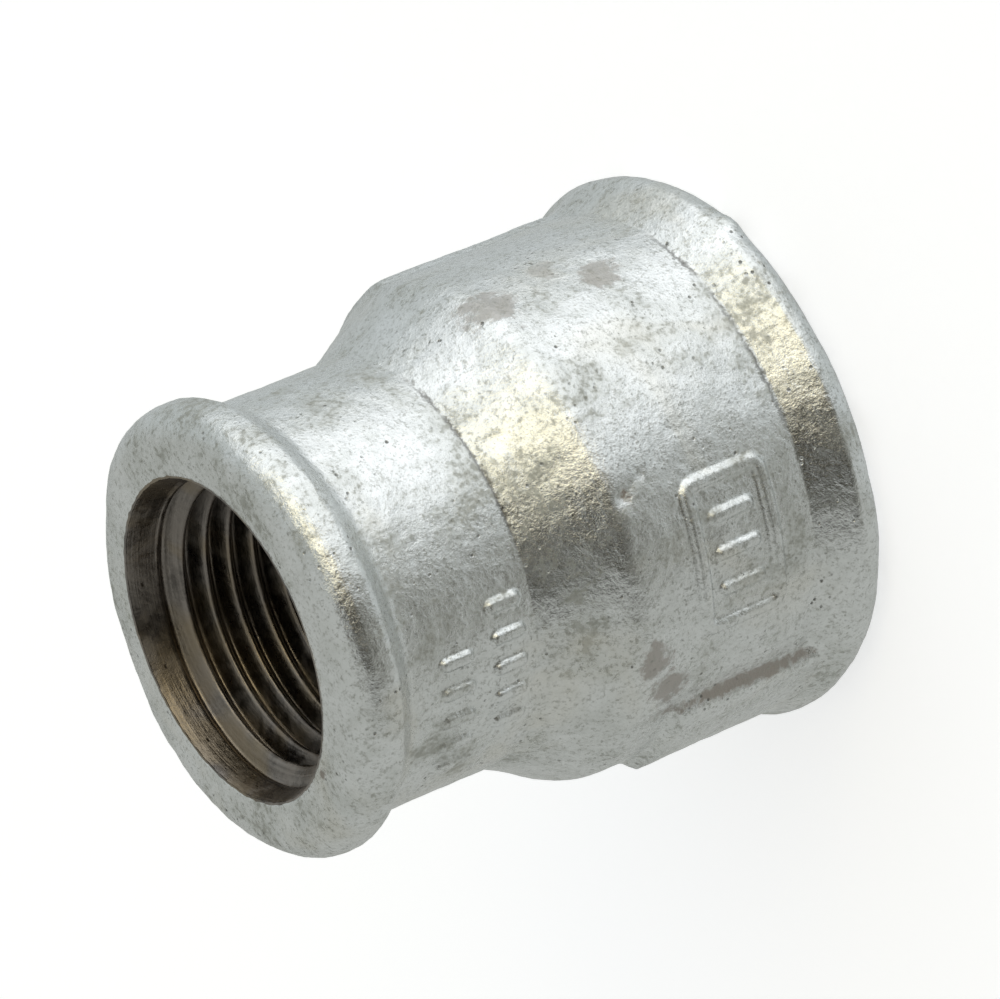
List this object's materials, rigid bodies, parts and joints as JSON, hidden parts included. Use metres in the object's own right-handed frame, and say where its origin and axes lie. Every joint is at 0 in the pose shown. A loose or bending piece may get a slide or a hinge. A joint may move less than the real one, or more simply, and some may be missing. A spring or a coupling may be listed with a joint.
{
  "type": "concentric reducer",
  "caption": "Straight reducing pipe socket in galvanised malleable iron, with beaded ends and a female parallel thread at each end to join two pipe sizes in line.",
  "frame": {"origin": "centre of the large end face, which the part stands on", "axes": "+Z along the bore from the large end to the small end; +X towards the lower of the two ribs on the large body, so both ribs lie in the XZ plane"},
  "size_m": [0.037, 0.037, 0.039],
  "materials": {
    "bare_iron": "machined threads and mouths, dark and slightly oily",
    "outer_zinc": "hot-dip zinc over a rough casting, mottled pale blue-grey, half gloss",
    "inner_zinc": "hot-dip zinc inside the passage, dull grey"
  },
  "bodies": {
    "root": {"iron_casting": "bare_iron", "outer_zinc_coating": "outer_zinc", "inner_zinc_coating": "inner_zinc"}
  },
  "joints": []
}
